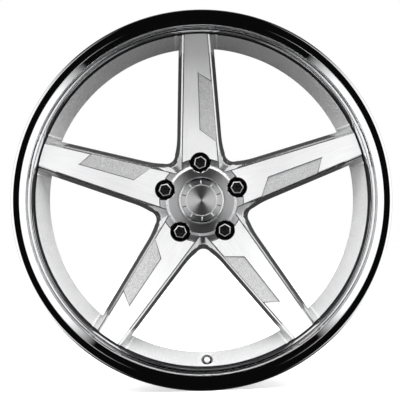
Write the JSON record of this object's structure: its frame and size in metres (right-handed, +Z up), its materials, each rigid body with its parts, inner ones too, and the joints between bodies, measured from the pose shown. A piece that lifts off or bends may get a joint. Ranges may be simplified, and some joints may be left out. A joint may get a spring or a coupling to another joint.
{
  "type": "racing wheel rim",
  "caption": "Bolted multi-piece forged road-racing wheel with concave tapered spokes, polished stepped lip, silver barrel, hexagon lug bolts, hub cap and metal tyre valve.",
  "frame": {"origin": "on the axle line, midway between the two rim flanges", "axes": "+Y along the axle towards the vehicle, so the outboard face looks along -Y; +Z up through the first spoke, with the tyre valve at the bottom; +X to the right seen from outboard"},
  "size_m": [0.5478, 0.277, 0.5478],
  "materials": {
    "brushed_forging": "forged aluminium: brushed and lacquered spoke faces, fine silver paint in the panels and on the sides",
    "silver_barrel": "spun aluminium with fine metallic silver paint",
    "mirror_steel": "mirror-polished stainless steel",
    "black_steel": "black zinc-nickel plated steel",
    "zinc_steel": "zinc-plated steel",
    "turned_aluminium": "turned aluminium with circular tool marks",
    "chrome_trim": "bright nickel-chrome plating",
    "brass": "plain machined brass",
    "black_rubber": "matt black rubber",
    "sealant": "cured grey-black silicone"
  },
  "bodies": {
    "wheel": {"forged_centre": "brushed_forging", "rim_barrel": "silver_barrel", "lip_cover": "mirror_steel", "lip_sealant_bead": "sealant", "centre_bolt_1_1": "zinc_steel", "centre_bolt_1_2": "zinc_steel", "centre_bolt_1_3": "zinc_steel", "centre_bolt_1_4": "zinc_steel", "centre_bolt_2_1": "zinc_steel", "centre_bolt_2_2": "zinc_steel", "centre_bolt_2_3": "zinc_steel", "centre_bolt_2_4": "zinc_steel", "centre_bolt_3_1": "zinc_steel", "centre_bolt_3_2": "zinc_steel", "centre_bolt_3_3": "zinc_steel", "centre_bolt_3_4": "zinc_steel", "centre_bolt_4_1": "zinc_steel", "centre_bolt_4_2": "zinc_steel", "centre_bolt_4_3": "zinc_steel", "centre_bolt_4_4": "zinc_steel", "centre_bolt_5_1": "zinc_steel", "centre_bolt_5_2": "zinc_steel", "centre_bolt_5_3": "zinc_steel", "centre_bolt_5_4": "zinc_steel", "valve_stem": "chrome_trim", "valve_grommet": "black_rubber", "valve_washer": "chrome_trim", "valve_nut": "chrome_trim"},
    "seat_ring_1": {"lug_seat_ring_1": "black_steel"},
    "bolt_1": {"lug_bolt_1": "black_steel"},
    "seat_ring_2": {"lug_seat_ring_2": "black_steel"},
    "bolt_2": {"lug_bolt_2": "black_steel"},
    "seat_ring_3": {"lug_seat_ring_3": "black_steel"},
    "bolt_3": {"lug_bolt_3": "black_steel"},
    "seat_ring_4": {"lug_seat_ring_4": "black_steel"},
    "bolt_4": {"lug_bolt_4": "black_steel"},
    "seat_ring_5": {"lug_seat_ring_5": "black_steel"},
    "bolt_5": {"lug_bolt_5": "black_steel"},
    "hub_cap": {"cap_body": "turned_aluminium", "cap_bezel": "chrome_trim", "cap_dial": "turned_aluminium", "cap_spring_ring": "zinc_steel"},
    "valve_cap_seal": {"valve_cap_gasket": "black_rubber"},
    "valve_cap_shell": {"valve_cap": "chrome_trim"},
    "valve_core": {"valve_core_pin": "brass"}
  },
  "joints": [
    {"name": "seat_ring_1_slide", "type": "slide", "parent": "wheel", "child": "seat_ring_1", "axis": [0, -1, 0], "range_m": [0, 0.027]},
    {"name": "bolt_1_turn", "type": "hinge", "parent": "seat_ring_1", "child": "bolt_1", "pos_m": [0, -0.049, 0.056], "axis": [0, -1, 0], "range_deg": [0, 6500]},
    {"name": "seat_ring_2_slide", "type": "slide", "parent": "wheel", "child": "seat_ring_2", "axis": [0, -1, 0], "range_m": [0, 0.027]},
    {"name": "bolt_2_turn", "type": "hinge", "parent": "seat_ring_2", "child": "bolt_2", "pos_m": [0.05326, -0.049, 0.01731], "axis": [0, -1, 0], "range_deg": [0, 6500]},
    {"name": "seat_ring_3_slide", "type": "slide", "parent": "wheel", "child": "seat_ring_3", "axis": [0, -1, 0], "range_m": [0, 0.027]},
    {"name": "bolt_3_turn", "type": "hinge", "parent": "seat_ring_3", "child": "bolt_3", "pos_m": [0.03292, -0.049, -0.0453], "axis": [0, -1, 0], "range_deg": [0, 6500]},
    {"name": "seat_ring_4_slide", "type": "slide", "parent": "wheel", "child": "seat_ring_4", "axis": [0, -1, 0], "range_m": [0, 0.027]},
    {"name": "bolt_4_turn", "type": "hinge", "parent": "seat_ring_4", "child": "bolt_4", "pos_m": [-0.03292, -0.049, -0.0453], "axis": [0, -1, 0], "range_deg": [0, 6500]},
    {"name": "seat_ring_5_slide", "type": "slide", "parent": "wheel", "child": "seat_ring_5", "axis": [0, -1, 0], "range_m": [0, 0.027]},
    {"name": "bolt_5_turn", "type": "hinge", "parent": "seat_ring_5", "child": "bolt_5", "pos_m": [-0.05326, -0.049, 0.01731], "axis": [0, -1, 0], "range_deg": [0, 6500]},
    {"name": "hub_cap_pull", "type": "slide", "parent": "wheel", "child": "hub_cap", "axis": [0, -1, 0], "range_m": [0, 0.03]},
    {"name": "valve_cap_lift", "type": "slide", "parent": "wheel", "child": "valve_cap_seal", "axis": [0, -0.9659, 0.2588], "range_m": [0, 0.00794]},
    {"name": "valve_cap_turn", "type": "hinge", "parent": "valve_cap_seal", "child": "valve_cap_shell", "pos_m": [0, -0.066, -0.2355], "axis": [0, -0.9659, 0.2588], "range_deg": [0, 3620]},
    {"name": "valve_core_press", "type": "slide", "parent": "wheel", "child": "valve_core", "axis": [0, 0.9659, -0.2588], "range_m": [0, 0.0015], "stiffness_N_per_m": 900, "springref_m": -0.001}
  ],
  "couplings": [
    {"joint": "bolt_1_turn", "follows": "seat_ring_1_slide", "rad_per_m": 4188.8},
    {"joint": "bolt_2_turn", "follows": "seat_ring_2_slide", "rad_per_m": 4188.8},
    {"joint": "bolt_3_turn", "follows": "seat_ring_3_slide", "rad_per_m": 4188.8},
    {"joint": "bolt_4_turn", "follows": "seat_ring_4_slide", "rad_per_m": 4188.8},
    {"joint": "bolt_5_turn", "follows": "seat_ring_5_slide", "rad_per_m": 4188.8},
    {"joint": "valve_cap_turn", "follows": "valve_cap_lift", "rad_per_m": 7913.3}
  ]
}
